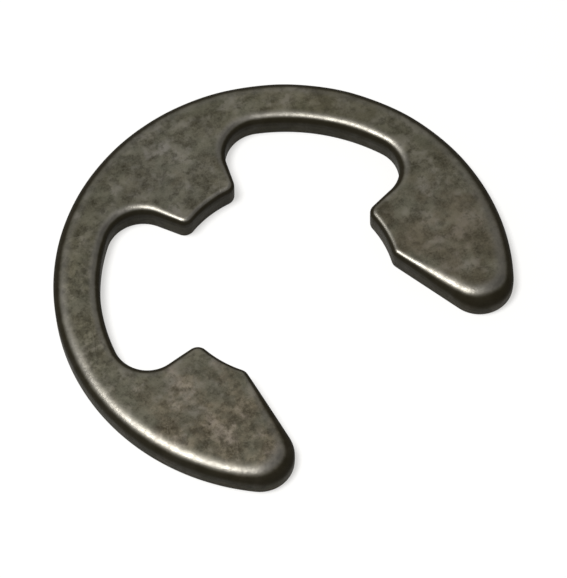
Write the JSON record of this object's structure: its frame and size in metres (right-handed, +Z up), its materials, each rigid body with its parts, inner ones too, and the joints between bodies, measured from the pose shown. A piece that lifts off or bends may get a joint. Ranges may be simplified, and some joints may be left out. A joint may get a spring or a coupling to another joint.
{
  "type": "e clip",
  "caption": "Flat stamped E-shaped retaining ring whose three inward prongs grip a groove on a shaft, pushed on from the side.",
  "frame": {"origin": "on the shaft's axis, at the clip's lower face", "axes": "+Z up through the thickness, towards the face with the rounded edges; +Y towards the centre prong; the throat opens towards -Y"},
  "size_m": [0.0122, 0.0105, 0.0007],
  "materials": {
    "spring_steel": "dark olive-grey phosphated and oiled spring steel, satin, with bright rubbed edges"
  },
  "bodies": {
    "root": {"e_clip": "spring_steel"}
  },
  "joints": []
}
